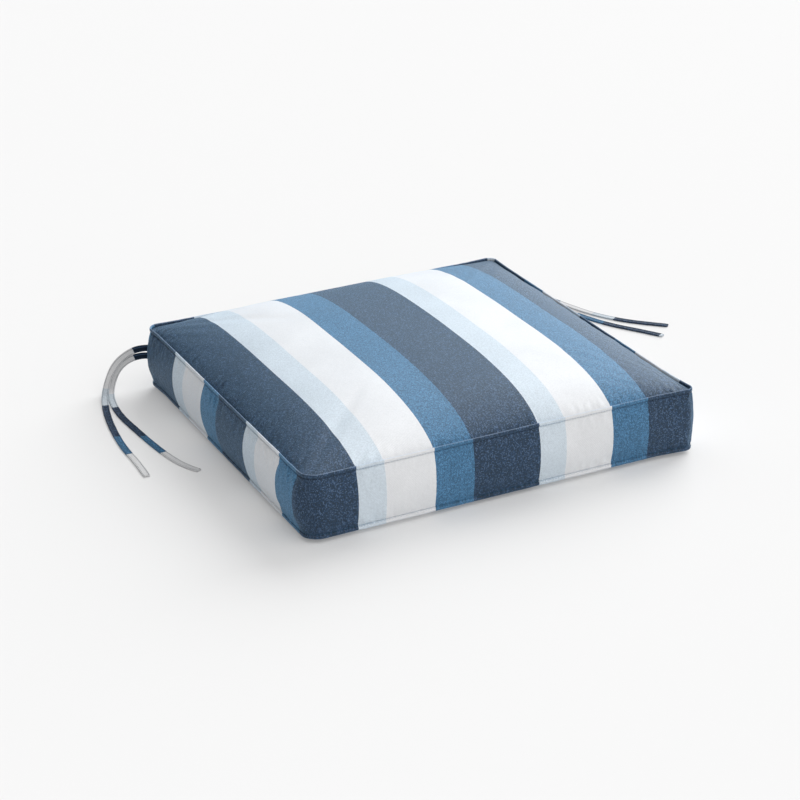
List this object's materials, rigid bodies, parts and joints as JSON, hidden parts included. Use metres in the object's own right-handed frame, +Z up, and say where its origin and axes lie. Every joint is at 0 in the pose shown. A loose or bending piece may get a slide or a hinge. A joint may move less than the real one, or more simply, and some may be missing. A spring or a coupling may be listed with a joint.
{
  "type": "chair seat pad",
  "caption": "Square boxed seat pad in striped woven cloth with welted seams, tape ties at the back corners and a zip in the back wall.",
  "frame": {"origin": "middle of the pad's footprint, on the surface that the pad lies on; the loose ties aren't counted", "axes": "+Z up out of the seat, -Y towards the front edge, +X to the right seen from the front; the ties and the zip are at the back, +Y"},
  "size_m": [0.7632, 0.5309, 0.1164],
  "materials": {
    "foam": "open-cell polyurethane foam, hidden",
    "wadding": "polyester fibre wadding, hidden",
    "striped_cloth": "woven twill in broad stripes of heathered navy, pale blue, off-white and mid blue",
    "tie_cloth": "the striped cloth folded into a flat stitched tape",
    "zip_tape": "woven polyester zip tape",
    "zip_teeth": "nylon coil",
    "zip_metal": "painted zinc, satin"
  },
  "bodies": {
    "cover": {"foam_core": "foam", "wadding_top": "wadding", "wadding_bottom": "wadding", "top_panel": "striped_cloth", "bottom_panel": "striped_cloth", "boxing_band": "striped_cloth", "zip_band_upper": "striped_cloth", "zip_band_lower": "striped_cloth", "top_welt": "striped_cloth", "bottom_welt": "striped_cloth", "zip_tape_upper": "zip_tape", "zip_tape_lower": "zip_tape", "zip_teeth_upper": "zip_teeth", "zip_teeth_lower": "zip_teeth", "zip_top_stop_upper": "zip_metal", "zip_top_stop_lower": "zip_metal", "zip_bottom_stop": "zip_metal", "tie_left_upper": "tie_cloth", "tie_left_lower": "tie_cloth", "tie_right_upper": "tie_cloth", "tie_right_lower": "tie_cloth"},
    "slider": {"zip_slider": "zip_metal"},
    "pull": {"zip_pull": "zip_metal"}
  },
  "joints": [
    {"name": "zip_slide", "type": "slide", "parent": "cover", "child": "slider", "axis": [-1, 0, 0], "range_m": [0, 0.394]},
    {"name": "pull_hinge", "type": "hinge", "parent": "slider", "child": "pull", "pos_m": [0.197, 0.254, 0.04375], "axis": [0, 0, 1], "range_deg": [0, 170]}
  ]
}
